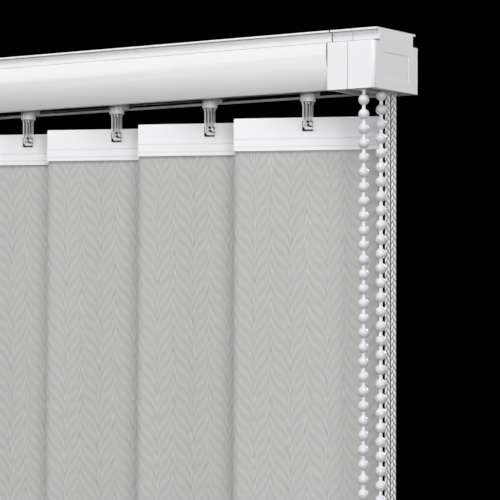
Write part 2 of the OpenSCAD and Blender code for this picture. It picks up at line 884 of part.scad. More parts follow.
// full-width hanger with stepped ridges and a slot for the fabric
module hanger(k) {
    half = hanger_t / 2;
    color(plastic)
        translate([slat_x[k - 1], 0, 0])
            rotate([0, 0, slat_angle])
                difference() {
                    intersection() {
                        along_x(-hanger_w / 2, hanger_w)
                            difference() {
                                union() {
                                    span(-half, half, -hanger_end, -hanger_top);
                                    span(-half - ridge_t, half + ridge_t, -hanger_end, -ridge_1);
                                    span(-half - 2 * ridge_t, half + 2 * ridge_t, -hanger_end, -ridge_2);
                                }
                                span(-hanger_slot, hanger_slot, -hanger_end - over, -hanger_slot_top);
                            }
                        along_y(-hook_d, 2 * hook_d)
                            translate([0, -(hanger_top + hanger_end) / 2])
                                round_rect(hanger_w, hanger_end - hanger_top, hanger_r);
                    }
                    translate([-eye_w / 2, -hook_d, -eye_top - eye_h])
                        cube([eye_w, 2 * hook_d, eye_h]);
                }
}

// fabric slat with a sewn pocket at its foot
module slat(k) {
    half = slat_t / 2;
    color(fabric)
        translate([slat_x[k - 1], 0, 0])
            rotate([0, 0, slat_angle])
                along_x(-slat_w / 2, slat_w)
                    difference() {
                        polygon([[-half, -slat_top], [half, -slat_top], [half, -drop + pocket_h],
                                 [pocket_out, -drop + pocket_h - pocket_slope], [pocket_out, -drop],
                                 [-pocket_out, -drop], [-pocket_out, -drop + pocket_h - pocket_slope],
                                 [-half, -drop + pocket_h]]);
                        span(-pocket_in, pocket_in, -drop + slat_t, -drop + pocket_h - pocket_slope);
                    }
}

// flat weight inside a slat's pocket
module weight(k) {
    color(steel)
        translate([slat_x[k - 1], 0, 0])
            rotate([0, 0, slat_angle])
                along_y(-weight_t / 2, weight_t)
                    translate([0, -drop + weight_lift + weight_h / 2])
                        round_rect(weight_w, weight_h, weight_r);
}

headrail();
control_housing();
control_cover();
far_end_cap();
tilt_rod();
chain_wheel();
tilt_chain();
cord_pulley_front();
cord_pulley_back();
pulley_pins();
return_pulley();
return_pin();
rail_cord();
hanging_strand(cord_front_y);  // traverse_cord_front
hanging_strand(cord_back_y);  // traverse_cord_back
cord_weight();
cord_clamp();
carrier(1);  // carrier_1
carrier(2);  // carrier_2
carrier(3);  // carrier_3
carrier(4);  // carrier_4
carrier(5);  // carrier_5
carrier(6);  // carrier_6
spacer(2);  // spacer_2
spacer(3);  // spacer_3
spacer(4);  // spacer_4
spacer(5);  // spacer_5
spacer(6);  // spacer_6
worm(1);  // worm_1
worm(2);  // worm_2
worm(3);  // worm_3
worm(4);  // worm_4
worm(5);  // worm_5
worm(6);  // worm_6
hook(1);  // hook_1
hook(2);  // hook_2
hook(3);  // hook_3
hook(4);  // hook_4
hook(5);  // hook_5
hook(6);  // hook_6
hanger(1);  // hanger_1
hanger(2);  // hanger_2
hanger(3);  // hanger_3
hanger(4);  // hanger_4
hanger(5);  // hanger_5
hanger(6);  // hanger_6
slat(1);  // slat_1
slat(2);  // slat_2
slat(3);  // slat_3
slat(4);  // slat_4
slat(5);  // slat_5
slat(6);  // slat_6
weight(1);  // weight_1
weight(2);  // weight_2
weight(3);  // weight_3
weight(4);  // weight_4
weight(5);  // weight_5
weight(6);  // weight_6
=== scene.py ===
# Vertical blind: white headrail with a control unit at its right end, bead chain, cords,
# and fabric slats on clear hooks. Metres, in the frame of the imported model.
import math

import bpy
import numpy as np
from mathutils import Matrix


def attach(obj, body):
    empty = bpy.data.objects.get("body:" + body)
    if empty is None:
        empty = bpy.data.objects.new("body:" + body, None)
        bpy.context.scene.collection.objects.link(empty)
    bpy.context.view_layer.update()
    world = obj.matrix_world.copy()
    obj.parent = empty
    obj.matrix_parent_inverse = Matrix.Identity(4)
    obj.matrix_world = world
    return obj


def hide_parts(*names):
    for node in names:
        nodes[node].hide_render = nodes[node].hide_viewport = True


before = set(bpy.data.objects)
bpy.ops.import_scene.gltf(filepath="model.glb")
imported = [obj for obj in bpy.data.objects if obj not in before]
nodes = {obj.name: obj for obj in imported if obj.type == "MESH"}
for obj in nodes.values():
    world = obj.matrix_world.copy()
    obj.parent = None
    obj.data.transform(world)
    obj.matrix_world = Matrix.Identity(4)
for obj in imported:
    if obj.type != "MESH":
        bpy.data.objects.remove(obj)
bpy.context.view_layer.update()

# Camera: a long lens in front of the control end, a little below the rail and looking up.
# Its pose comes from the rail's and the slats' known sizes; the picture is square.
MM = 0.001
eye = np.array([976.64, -1246.54, -192.38]) * MM
yaw, pitch, roll = -0.5931, 0.0445, 0.0036
focal_px, picture_px, sensor_mm, far_clip = 2500.0, 500.0, 36.0, 20.0
upright = np.array([0.0, 0.0, 1.0])


def stand(thing, right, top, back, at):
    """Puts a camera or lamp into the scene: its right, top, back and place are its matrix's columns."""
    bpy.context.scene.collection.objects.link(thing)
    thing.matrix_world = Matrix([[*row] for row in np.column_stack([right, top, back, at])] + [[0, 0, 0, 1]])


level = np.array([math.sin(yaw), math.cos(yaw), 0.0])
aside = np.array([math.cos(yaw), -math.sin(yaw), 0.0])
ahead = math.cos(pitch) * level + math.sin(pitch) * upright
above = math.cos(pitch) * upright - math.sin(pitch) * level
right = math.cos(roll) * aside + math.sin(roll) * above
top = math.cos(roll) * above - math.sin(roll) * aside
lens = bpy.data.cameras.new("long_lens")
lens.sensor_width = sensor_mm
lens.lens = focal_px * sensor_mm / picture_px
lens.clip_end = far_clip
camera = bpy.data.objects.new("long_lens", lens)
stand(camera, right, top, -ahead, eye)
bpy.context.scene.camera = camera

# Traverse cord: white polyester braided from four yarns, so each side shows two columns of
# slanting stitches. Two strands hang from eyes under the control unit into the cord weight.
cord_x = 228.4 * MM
cord_radius = 1.72 * MM
cord_from, cord_to = -33.9 * MM, -705.0 * MM
cord_y = {"front": 7.2 * MM, "back": 13.9 * MM}
stitch = 4.0 * MM
stitch_lean, stitch_shift = 0.75, 0.25
columns_round = 4
column_crease, stitch_crease = 0.26, 0.42
crease_shade_from, crease_shade_full = 0.1, 0.42
facing = math.radians(-59.0)
rings, sides = 1760, 20


def to_linear(code):
    """A hex colour as linear RGBA: each sRGB channel through the sRGB curve."""
    c = np.array([int(code[i:i + 2], 16) for i in (1, 3, 5)]) / 255
    flat = np.where(c <= 0.04045, c / 12.92, ((c + 0.055) / 1.055) ** 2.4)
    return (*flat.tolist(), 1.0)


def add(tree, kind, sockets=None, **settings):
    """Adds a node with its settings; a socket takes a value, or an output to link from."""
    node = tree.nodes.new(kind)
    for name, value in settings.items():
        setattr(node, name, value)
    for key, value in (sockets or {}).items():
        if isinstance(value, bpy.types.NodeSocket):
            tree.links.new(value, node.inputs[key])
        else:
            node.inputs[key].default_value = value
    return node


def finish_of(name, colour, **sockets):
    """A new material named for what it is: its tree, its shader, and constants on the shader."""
    material = bpy.data.materials.new(name)
    material.use_nodes = True
    shader = material.node_tree.nodes["Principled BSDF"]
    shader.inputs["Base Color"].default_value = to_linear(colour)
    for key, value in sockets.items():
        shader.inputs[key.replace("_", " ")].default_value = value
    return material, material.node_tree, shader


def grained(tree, shader, grain, detail, strength, depth):
    """Lets a grain stand out of the surface: soft noise of a size and a depth in metres."""
    place = add(tree, "ShaderNodeTexCoord")
    noise = add(tree, "ShaderNodeTexNoise", {"Vector": place.outputs["Object"], "Scale": 1 / grain, "Detail": detail})
    bump = add(tree, "ShaderNodeBump", {"Height": noise.outputs["Fac"], "Strength": strength, "Distance": depth})
    tree.links.new(bump.outputs["Normal"], shader.inputs["Normal"])


def dress(material, *names):
    """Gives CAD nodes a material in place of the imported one."""
    for name in names:
        for held in nodes[name].material_slots:
            held.material = material


def surface(name, points, faces, material, uv=None):
    """A smooth mesh at the origin: points (n, 3), faces as rows of point numbers, UV per point."""
    mesh = bpy.data.meshes.new(name)
    mesh.from_pydata(points, [], faces)
    mesh.polygons.foreach_set("use_smooth", np.ones(len(faces), bool))
    if uv is not None:
        corner = np.empty(len(mesh.loops), int)
        mesh.loops.foreach_get("vertex_index", corner)
        mesh.uv_layers.new(name="length").data.foreach_set("uv", uv[corner].ravel())
    mesh.materials.append(material)
    mesh.update()
    piece = bpy.data.objects.new(name, mesh)
    bpy.context.scene.collection.objects.link(piece)
    return piece


def grid_faces(n, m, closed):
    """Quads of an n by m grid of points, joined across the last column where closed."""
    i, j = np.meshgrid(np.arange(n - 1), np.arange(m if closed else m - 1), indexing="ij")
    k = (j + 1) % m
    return np.stack([i * m + j, i * m + k, (i + 1) * m + k, (i + 1) * m + j], axis=-1).reshape(-1, 4)


# Polyester cord: matt and white; the creases between the yarns are darkened with painted shade, and the filaments
# show as a fine grain, drawn at 0.5 mm because the real 0.2 mm is finer than the picture.
cord_white, tree, shader = finish_of("braided_polyester", "#F6F6F4", Roughness=0.7)
place = add(tree, "ShaderNodeUVMap", uv_map="length")
spot = add(tree, "ShaderNodeSeparateXYZ", {"Vector": place.outputs["UV"]}).outputs
# painted shade in the creases, from the crease depth carried in the UV
painted_crease_shade = add(tree, "ShaderNodeMapRange", {"Value": spot["X"], "From Min": crease_shade_from, "From Max": crease_shade_full})
shade = add(tree, "ShaderNodeMix", {"Factor": painted_crease_shade.outputs["Result"], "A": to_linear("#F8F8F6"),
                                    "B": to_linear("#6E6E6C")}, data_type="RGBA")
tree.links.new(shade.outputs["Result"], shader.inputs["Base Color"])
grained(tree, shader, grain=0.5 * MM, detail=1.0, strength=0.3, depth=0.15 * MM)

along, turn = np.meshgrid(np.linspace(cord_from, cord_to, rings), np.arange(sides) * 2 * np.pi / sides,
                          indexing="ij")
column = (turn - facing) / (2 * np.pi) * columns_round
beside = column - np.floor(column) - 0.5
lean = np.where(np.floor(column).astype(int) % 2 == 0, 1.0, -1.0)
climb = along / stitch + lean * stitch_lean * beside + stitch_shift * lean
# radius = cord radius less a crease between columns and one between leaning stitches
depth = (column_crease * (1 - np.sqrt(1 - 4 * beside ** 2))
         + stitch_crease * (1 - np.sqrt(np.abs(np.sin(np.pi * climb)))))
swell = cord_radius * (1 - depth)
for strand, y in cord_y.items():
    points = np.stack([cord_x + swell * np.cos(turn), y + swell * np.sin(turn), along], axis=-1).reshape(-1, 3)
    ends = np.array([[cord_x, y, cord_from], [cord_x, y, cord_to]])
    first, last = np.arange(sides), (rings - 1) * sides + np.arange(sides)
    caps = [[len(points), b, a] for a, b in zip(first, np.roll(first, -1))]
    caps += [[len(points) + 1, a, b] for a, b in zip(last, np.roll(last, -1))]
    uv = np.stack([depth / (column_crease + stitch_crease), -along / MM], axis=-1).reshape(-1, 2)
    uv = np.vstack([uv, uv[[0, -1]]])
    faces = grid_faces(rings, sides, True)[:, ::-1].tolist() + [[int(k) for k in f] for f in caps]
    piece = surface(f"traverse_cord_{strand}_strand", np.vstack([points, ends]).tolist(), faces, cord_white, uv)
    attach(piece, "rail")
    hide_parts(f"traverse_cord_{strand}")
dress(cord_white, "rail_cord")

# Headrail: aluminium extruded with a top plate, a recessed band and faces that bow in at the
# foot, powder coated white outside with a faint orange peel; the inside carries painted shade,
# near black. It hangs by its top plate.
face_half, band_half, bow_top, bow_r, under_ledge, lip_top = 25.0, 19.0, 14.3, 32.07, 8.3, 33.15
skin, plate_middle, groove_top, groove_low, groove_foot = 0.7, 0.6, 1.2, 7.9, 6.5
band_margin, face_margin = 0.1, 0.4
rail_centre, rail_half, sawn_edge = -9.85, 216.25, 0.35


def place_in_mm(tree, turned=0.0):
    """X, Y and Z of a point on Object coordinates, in mm and turned about Z, as outputs."""
    place = add(tree, "ShaderNodeTexCoord")
    in_mm = add(tree, "ShaderNodeMapping", {"Vector": place.outputs["Object"], "Rotation": (0, 0, turned),
                                            "Scale": (1 / MM, 1 / MM, 1 / MM)})
    return add(tree, "ShaderNodeSeparateXYZ", {"Vector": in_mm.outputs["Vector"]}).outputs


def with_groove_shade(tree, spot, coat, tone):
    """The coat's colour, with painted shade inside the bracket grooves: aside of the band but short of the
    faces, under the plate and over the ledge, with the point's place in mm; darker painted shade along the foot."""
    aside_of = add(tree, "ShaderNodeMath", {0: spot["Y"]}, operation="ABSOLUTE")
    share = 1.0
    for value, edge, side in ((aside_of.outputs[0], band_half - band_margin, "GREATER_THAN"),
                              (aside_of.outputs[0], face_half - face_margin, "LESS_THAN"),
                              (spot["Z"], -groove_low, "GREATER_THAN"),
                              (spot["Z"], -groove_top, "LESS_THAN")):
        test = add(tree, "ShaderNodeMath", {0: value, 1: edge}, operation=side)
        share = add(tree, "ShaderNodeMath", {0: share, 1: test.outputs[0]}, operation="MULTIPLY").outputs[0]
    low = add(tree, "ShaderNodeMath", {0: spot["Z"], 1: -groove_foot}, operation="LESS_THAN")
    groove_shade = add(tree, "ShaderNodeMix", {"Factor": low.outputs[0], "A": to_linear(tone),
                                        "B": to_linear("#8C8C8E")}, data_type="RGBA")
    colours = add(tree, "ShaderNodeMix", {"Factor": share, "A": to_linear(coat),
                                          "B": groove_shade.outputs["Result"]}, data_type="RGBA")
    return colours.outputs["Result"]


coated, tree, shader = finish_of("white_powder_coat", "#F5F5F6", Roughness=0.3)
grained(tree, shader, grain=1.6 * MM, detail=2.0, strength=0.06, depth=0.1 * MM)
# painted shade inside = deeper than the skin under the outer half width, which is an arc below the bow's top
spot = place_in_mm(tree)
below = add(tree, "ShaderNodeMath", {0: spot["Z"], 1: -1.0, 2: -bow_top}, operation="MULTIPLY_ADD")
drop = add(tree, "ShaderNodeMath", {0: below.outputs[0], 1: 0.0}, operation="MAXIMUM")
square = add(tree, "ShaderNodeMath", {0: drop.outputs[0], 1: 2.0}, operation="POWER")
left_over = add(tree, "ShaderNodeMath", {0: bow_r ** 2, 1: square.outputs[0]}, operation="SUBTRACT")
reach = add(tree, "ShaderNodeMath", {0: left_over.outputs[0]}, operation="SQRT")
half = add(tree, "ShaderNodeMath", {0: reach.outputs[0], 1: face_half - bow_r}, operation="ADD")
at_band = add(tree, "ShaderNodeMath", {0: spot["Z"], 1: -under_ledge}, operation="GREATER_THAN")
width = add(tree, "ShaderNodeMix", {"Factor": at_band.outputs[0], "A": half.outputs[0], "B": band_half})
aside_of = add(tree, "ShaderNodeMath", {0: spot["Y"]}, operation="ABSOLUTE")
depth_in = add(tree, "ShaderNodeMath", {0: width.outputs["Result"], 1: aside_of.outputs[0]}, operation="SUBTRACT")
deep = add(tree, "ShaderNodeMath", {0: depth_in.outputs[0], 1: skin}, operation="GREATER_THAN")
over_lip = add(tree, "ShaderNodeMath", {0: spot["Z"], 1: -lip_top}, operation="GREATER_THAN")
under_plate = add(tree, "ShaderNodeMath", {0: spot["Z"], 1: -plate_middle}, operation="LESS_THAN")
walled = add(tree, "ShaderNodeMath", {0: deep.outputs[0], 1: over_lip.outputs[0]}, operation="MULTIPLY")
painted_inside_shade = add(tree, "ShaderNodeMath", {0: walled.outputs[0], 1: under_plate.outputs[0]}, operation="MULTIPLY")
# painted shade: greyer in the bracket grooves under the plate, with a darker line along the band's foot
coat = with_groove_shade(tree, spot, "#F5F5F6", "#EDEDEF")
# painted shade: the sawn ends are dark grey where they stand in the hair's breadth left open against the mouldings
off_centre = add(tree, "ShaderNodeMath", {0: spot["X"], 1: -rail_centre}, operation="ADD")
from_centre = add(tree, "ShaderNodeMath", {0: off_centre.outputs[0]}, operation="ABSOLUTE")
sawn_end_shade = add(tree, "ShaderNodeMath", {0: from_centre.outputs[0], 1: rail_half - sawn_edge}, operation="GREATER_THAN")
# painted shade: the sawn ends dark grey and the inside near black
for where, tone in ((sawn_end_shade, "#4A4A4C"), (painted_inside_shade, "#2A2B2E")):
    coat = add(tree, "ShaderNodeMix", {"Factor": where.outputs[0], "A": coat, "B": to_linear(tone)},
               data_type="RGBA").outputs["Result"]
tree.links.new(coat, shader.inputs["Base Color"])
dress(coated, "headrail")
weld_gap, sharp, edge_steps = 0.005 * MM, math.radians(35), 2


def soften(edge, *names):
    """Rounds the sharp edges of CAD nodes: joins their loose triangles, then rounds edges over 35 degrees."""
    for name in names:
        joined = nodes[name].modifiers.new("joined", "WELD")
        joined.merge_threshold = weld_gap
        eased = nodes[name].modifiers.new("eased", "BEVEL")
        eased.width = edge
        eased.segments = edge_steps
        eased.limit_method = "ANGLE"
        eased.angle_limit = sharp
        eased.use_clamp_overlap = True
        eased.harden_normals = True


soften(0.25 * MM, "headrail")

# Control unit and far end cap: ABS moulded in two halves and a plug, white, with the fine
# grain of a spark-eroded mould. Spigots plug them into the rail's ends, and the cord weight is
# of the same plastic.
# painted shade tones for the joints: x from and x to in mm, and the colour in the gap
joint_shades = ((-226.5, 206.75, "#5A5A5C"), (220.35, 220.85, "#C0C0C4"))
abs_white, tree, shader = finish_of("white_abs", "#F5F5F7", Roughness=0.5)
grained(tree, shader, grain=0.9 * MM, detail=3.0, strength=0.08, depth=0.1 * MM)
spot = place_in_mm(tree)
# painted shade in the bracket grooves and along the band's foot, as on the rail
white = with_groove_shade(tree, spot, "#F5F5F7", "#EFEFF2")
# painted shade in the joints against the rail and between the halves, which are open by a hair: the colour is darkened
# there
for joint_from, joint_to, tone in joint_shades:
    past = add(tree, "ShaderNodeMath", {0: spot["X"], 1: joint_from}, operation="GREATER_THAN")
    short = add(tree, "ShaderNodeMath", {0: spot["X"], 1: joint_to}, operation="LESS_THAN")
    in_joint_shade = add(tree, "ShaderNodeMath", {0: past.outputs[0], 1: short.outputs[0]}, operation="MULTIPLY")
    white = add(tree, "ShaderNodeMix", {"Factor": in_joint_shade.outputs[0], "A": white, "B": to_linear(tone)},
                data_type="RGBA").outputs["Result"]
tree.links.new(white, shader.inputs["Base Color"])
dress(abs_white, "control_housing", "control_cover", "far_end_cap", "cord_weight")
soften(0.12 * MM, "control_housing", "control_cover", "far_end_cap")
soften(0.35 * MM, "cord_weight")

# Tilt rod: aluminium drawn with three keyways and left bare, so its gloss changes in fine
# lines along it. It turns in the control unit's web and in the far end cap.
rod_lines = (4, 1500, 1500)


def uneven_gloss(tree, shader, per_metre, smooth, rough):
    """Lets the roughness wander between two values: noise with so many spots per metre on each axis."""
    place = add(tree, "ShaderNodeTexCoord")
    stretched = add(tree, "ShaderNodeMapping", {"Vector": place.outputs["Object"], "Scale": per_metre})
    noise = add(tree, "ShaderNodeTexNoise", {"Vector": stretched.outputs["Vector"], "Scale": 1.0, "Detail": 2.0})
    wander = add(tree, "ShaderNodeMapRange", {"Value": noise.outputs["Fac"], "To Min": smooth, "To Max": rough})
    tree.links.new(wander.outputs["Result"], shader.inputs["Roughness"])


bare, tree, shader = finish_of("drawn_aluminium", "#C9CACC", Metallic=1.0, Roughness=0.34)
uneven_gloss(tree, shader, rod_lines, smooth=0.26, rough=0.46)
dress(bare, "tilt_rod")

# Pins, clamp and spacer strips: stainless steel, turned or rolled, bright with fine lines. The
# pins sit in the mouldings, the clamp grips the cord, and the strips are clipped under the carriers.
rolled_lines = (12, 2200, 2200)
slat_count = 6
steel, tree, shader = finish_of("stainless_steel", "#B9BABD", Metallic=1.0, Roughness=0.3)
uneven_gloss(tree, shader, rolled_lines, smooth=0.22, rough=0.42)
dress(steel, "pulley_pins", "return_pin", "cord_clamp", *[f"spacer_{k}" for k in range(2, slat_count + 1)])

# Worms, wheel and pulleys: acetal, milky white, smooth from the mould with a faint change of
# gloss. The worms slide on the rod, the wheel is fixed on it, and the pulleys turn on pins.
flow_spots = (1 / (4 * MM), 1 / (4 * MM), 1 / (4 * MM))


def one_per_slat(kind):
    """The names of the nodes of a kind, one for each slat."""
    return [f"{kind}_{k}" for k in range(1, slat_count + 1)]


acetal, tree, shader = finish_of("white_acetal", "#F6F6F4", Roughness=0.36, IOR=1.48)
uneven_gloss(tree, shader, flow_spots, smooth=0.30, rough=0.44)
dress(acetal, "chain_wheel", "cord_pulley_front", "cord_pulley_back", "return_pulley", *one_per_slat("worm"))

# Carriers: acetal too, white; the body that runs in the rail is painted dark grey as shade inside the rail,
# and the neck below it stays white. They glide on the rail's two lips, and each holds a worm and a hook.
body_foot, neck_top, neck_half = -33.9, -31.5, 5.6
slat_step, slat_first = 71.0, -177.5
acetal_with_shade, tree, shader = finish_of("carrier_acetal", "#F6F6F4", Roughness=0.38, IOR=1.48)
# painted shade on the body = over the foot, and either outside the square round the nearest neck or over the neck's
# top
spot = place_in_mm(tree)
from_first = add(tree, "ShaderNodeMath", {0: spot["X"], 1: slat_step - slat_first}, operation="ADD")
nearest = add(tree, "ShaderNodeMath", {0: from_first.outputs[0], 1: slat_step / 2}, operation="PINGPONG")
across = add(tree, "ShaderNodeMath", {0: spot["Y"]}, operation="ABSOLUTE")
farther = add(tree, "ShaderNodeMath", {0: nearest.outputs[0], 1: across.outputs[0]}, operation="MAXIMUM")
aside_neck = add(tree, "ShaderNodeMath", {0: farther.outputs[0], 1: neck_half}, operation="GREATER_THAN")
over_neck = add(tree, "ShaderNodeMath", {0: spot["Z"], 1: neck_top}, operation="GREATER_THAN")
either = add(tree, "ShaderNodeMath", {0: aside_neck.outputs[0], 1: over_neck.outputs[0]}, operation="MAXIMUM")
over_foot = add(tree, "ShaderNodeMath", {0: spot["Z"], 1: body_foot}, operation="GREATER_THAN")
body = add(tree, "ShaderNodeMath", {0: either.outputs[0], 1: over_foot.outputs[0]}, operation="MULTIPLY")
shade = add(tree, "ShaderNodeMix", {"Factor": body.outputs[0], "A": to_linear("#F6F6F4"),
                                    "B": to_linear("#333335")}, data_type="RGBA")
tree.links.new(shade.outputs["Result"], shader.inputs["Base Color"])
dress(acetal_with_shade, *one_per_slat("carrier"))

# Tilt chain: white plastic beads moulded on a cord at an even distance, an endless loop over
# the wheel in the control unit; the cord between the beads is a little whiter.
bead_r, bead_step, link_r = 3.25 * MM, 8.4 * MM, 1.05 * MM
bead_rows, bead_sides, bead_reach, link_sides = 8, 14, 1.36, 10
chain_axis = np.array([-10.0, -20.5]) * MM
pockets, chain_rows = 7, 80
chain_r = bead_step / 2 / math.sin(math.pi / pockets)
bead_white, tree, shader = finish_of("moulded_bead_plastic", "#E4E4E9", Roughness=0.2)
grained(tree, shader, grain=2.5 * MM, detail=2.0, strength=0.3, depth=0.3 * MM)
# loop = down the back, round half of a wheel at the foot, up the front half a step off, and over the wheel
bend = np.arange(1, (pockets + 1) // 2) * 2 * math.pi / pockets
low = chain_axis[1] - chain_rows * bead_step
back_run = np.column_stack([np.full(chain_rows + 1, chain_axis[0] + chain_r),
                            chain_axis[1] - np.arange(chain_rows + 1) * bead_step])
under = np.column_stack([chain_axis[0] + chain_r * np.cos(bend), low - chain_r * np.sin(bend)])
front_run = np.column_stack([np.full(chain_rows, chain_axis[0] - chain_r),
                             chain_axis[1] - (np.arange(chain_rows)[::-1] + 0.5) * bead_step])
over = np.column_stack([chain_axis[0] + chain_r * np.cos(bend), chain_axis[1] + chain_r * np.sin(bend)])
loop = np.vstack([back_run, under, front_run, over[::-1]])
loop = np.column_stack([np.full(len(loop), cord_x), loop])
# beads: spheres with a slight flat where the cord enters, a small grid for each
rise, round_it = np.meshgrid(np.linspace(-1, 1, bead_rows) * bead_reach,
                             np.arange(bead_sides) * 2 * np.pi / bead_sides, indexing="ij")
ball = bead_r * np.stack([np.cos(rise) * np.cos(round_it), np.cos(rise) * np.sin(round_it), np.sin(rise)], axis=-1)
ball = ball.reshape(-1, 3)
points = (loop[:, None] + ball[None]).reshape(-1, 3)
start = np.arange(len(loop))[:, None] * len(ball)
faces = (start[..., None] + grid_faces(bead_rows, bead_sides, True)[None]).reshape(-1, 4).tolist()
faces += (start + np.arange(bead_sides)[::-1]).tolist()
faces += (start + (bead_rows - 1) * bead_sides + np.arange(bead_sides)).tolist()
beads = surface("tilt_chain_beads", points.tolist(), faces, bead_white)
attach(beads, "rail")
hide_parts("tilt_chain")
# cord between beads: short tubes from each bead to the next
cord_link, tree, shader = finish_of("bead_cord", "#F2F2F2", Roughness=0.5)
grained(tree, shader, grain=0.8 * MM, detail=2.0, strength=0.3, depth=0.2 * MM)
onward = np.roll(loop, -1, axis=0)
ahead_of = onward - loop
ahead_of /= np.linalg.norm(ahead_of, axis=1, keepdims=True)
outward = np.cross(ahead_of, [1.0, 0.0, 0.0])
spoke = (np.arange(link_sides) * 2 * np.pi / link_sides)[None, :, None]
ring = link_r * (np.cos(spoke) * np.array([1.0, 0, 0]) + np.sin(spoke) * outward[:, None])
points = np.stack([loop[:, None] + ring, onward[:, None] + ring], axis=1).reshape(-1, 3)
start = np.arange(len(loop))[:, None, None] * 2 * link_sides
faces = (start + grid_faces(2, link_sides, True)[None]).reshape(-1, 4)[:, ::-1].tolist()
links = surface("tilt_chain_cord", points.tolist(), faces, cord_link)
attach(links, "rail")

# Hooks: clear polycarbonate moulded with upright ribs, turning in the carriers' necks. White
# streaks are painted highlights where the ribs turn light toward the viewer, and dark marks in the eye
# and along the left edge are painted shade where the barb sits in the hook's eye.
slat_angle = math.radians(22)
hook_step, hook_half = slat_step * math.cos(slat_angle), 2.9
eye_from, eye_high, hanger_top, stem_fade = -49.6, 5.2, -47.6, 0.8
# painted shade along the hook's left edge and on the stem, at most this strong
edge_from, edge_to, edge_dark, stem_dark = 0.05, 0.13, 0.85, 0.85
# in the eye the hook is painted near white, a painted highlight
eye_highlight = (0.85, 0.85, 0.85, 1)
# painted highlight strength at shares of the hook's width
highlight_streaks = ((0.14, 1.0), (0.20, 0.02), (0.31, 0.08), (0.37, 0.9), (0.48, 0.85), (0.54, 0.0), (0.66, 0.04),
           (0.72, 0.85), (0.80, 0.75), (0.85, 0.02), (0.93, 0.05), (0.97, 0.6), (1.0, 0.7))
# painted shade marks in the eye, as shares of the hook's width and of the eye's height, each with its reach
marks = ((0.57, 0.10, 0.20), (0.57, 0.50, 0.19), (0.90, 0.10, 0.12), (0.86, 0.66, 0.15), (0.10, 0.92, 0.22))
clear, tree, shader = finish_of("clear_polycarbonate", "#F7F9FA", Roughness=0.06, IOR=1.4)
spot = place_in_mm(tree, -slat_angle)
across_hook = add(tree, "ShaderNodeMath", {0: spot["X"], 1: hook_step, 2: 0.0}, operation="WRAP")
ribs = add(tree, "ShaderNodeMapRange", {"Value": across_hook.outputs[0], "From Min": hook_step / 2 - hook_half,
                                        "From Max": hook_step / 2 + hook_half})
highlight_ramp = add(tree, "ShaderNodeValToRGB", {"Fac": ribs.outputs["Result"]})
stops = highlight_ramp.color_ramp.elements
while len(stops) > 1:
    stops.remove(stops[-1])
stops[0].position = 0.0
stops[0].color = (1, 1, 1, 1)
for share_across, highlight in highlight_streaks:
    stops.new(share_across).color = (highlight, highlight, highlight, 1)
down_eye = add(tree, "ShaderNodeMapRange", {"Value": spot["Z"], "From Min": eye_from,
                                            "From Max": eye_from - eye_high})
in_face = add(tree, "ShaderNodeCombineXYZ", {"X": ribs.outputs["Result"], "Y": down_eye.outputs["Result"]})
left_edge = add(tree, "ShaderNodeMapRange", {"Value": ribs.outputs["Result"], "From Min": edge_from,
                                             "From Max": edge_to, "To Min": edge_dark, "To Max": 0.0})
dark = left_edge.outputs["Result"]
for at, down, reach_of in marks:
    off = add(tree, "ShaderNodeVectorMath", {0: in_face.outputs["Vector"], 1: (at, down, 0.0)},
              operation="DISTANCE")
    mark = add(tree, "ShaderNodeMapRange", {"Value": off.outputs["Value"], "From Min": reach_of * 0.5,
                                            "From Max": reach_of, "To Min": 1.0, "To Max": 0.0})
    dark = add(tree, "ShaderNodeMath", {0: dark, 1: mark.outputs["Result"]}, operation="MAXIMUM").outputs[0]
in_eye = add(tree, "ShaderNodeMath", {0: spot["Z"], 1: eye_from}, operation="LESS_THAN")
marked = add(tree, "ShaderNodeMath", {0: dark, 1: in_eye.outputs[0]}, operation="MULTIPLY")
# painted shade: between the highlighted ribs the stem above the hanger is darkened, as the dark behind it would show
between = add(tree, "ShaderNodeMath", {0: 1.0, 1: highlight_ramp.outputs["Color"]}, operation="SUBTRACT")
in_stem = add(tree, "ShaderNodeMapRange", {"Value": spot["Z"], "From Min": hanger_top,
                                           "From Max": hanger_top + stem_fade, "To Min": 0.0, "To Max": stem_dark})
dim = add(tree, "ShaderNodeMath", {0: between.outputs[0], 1: in_stem.outputs["Result"]}, operation="MULTIPLY")
dimmed = add(tree, "ShaderNodeMath", {0: dim.outputs[0], 1: marked.outputs[0]}, operation="MAXIMUM")
shade = add(tree, "ShaderNodeMix", {"Factor": dimmed.outputs[0], "A": to_linear("#F7F9FA"),
                                    "B": to_linear("#0C0C0E")}, data_type="RGBA")
tree.links.new(shade.outputs["Result"], shader.inputs["Base Color"])
# light passes where the hook carries neither a painted highlight nor painted shade
painted_light = add(tree, "ShaderNodeMix", {"Factor": in_eye.outputs[0], "A": highlight_ramp.outputs["Color"], "B": eye_highlight},
            data_type="RGBA")
painted_light_or_shade = add(tree, "ShaderNodeMath", {0: painted_light.outputs["Result"], 1: marked.outputs[0]}, operation="MAXIMUM")
see_through = add(tree, "ShaderNodeMath", {0: 1.0, 1: painted_light_or_shade.outputs[0]}, operation="SUBTRACT")
tree.links.new(see_through.outputs[0], shader.inputs["Transmission Weight"])
dress(clear, *one_per_slat("hook"))

# Hangers: white polypropylene profile cut to the slat's width, satin, caught on the hook's barb;
# each of its two steps holds a soft dark line of painted shade.
steps, line_half = (-59.9, -64.7), 0.9
hanger_white, tree, shader = finish_of("white_polypropylene", "#F6F6F8", Roughness=0.42)
grained(tree, shader, grain=5 * MM, detail=2.0, strength=0.05, depth=0.2 * MM)
spot = place_in_mm(tree)
step_shades = []
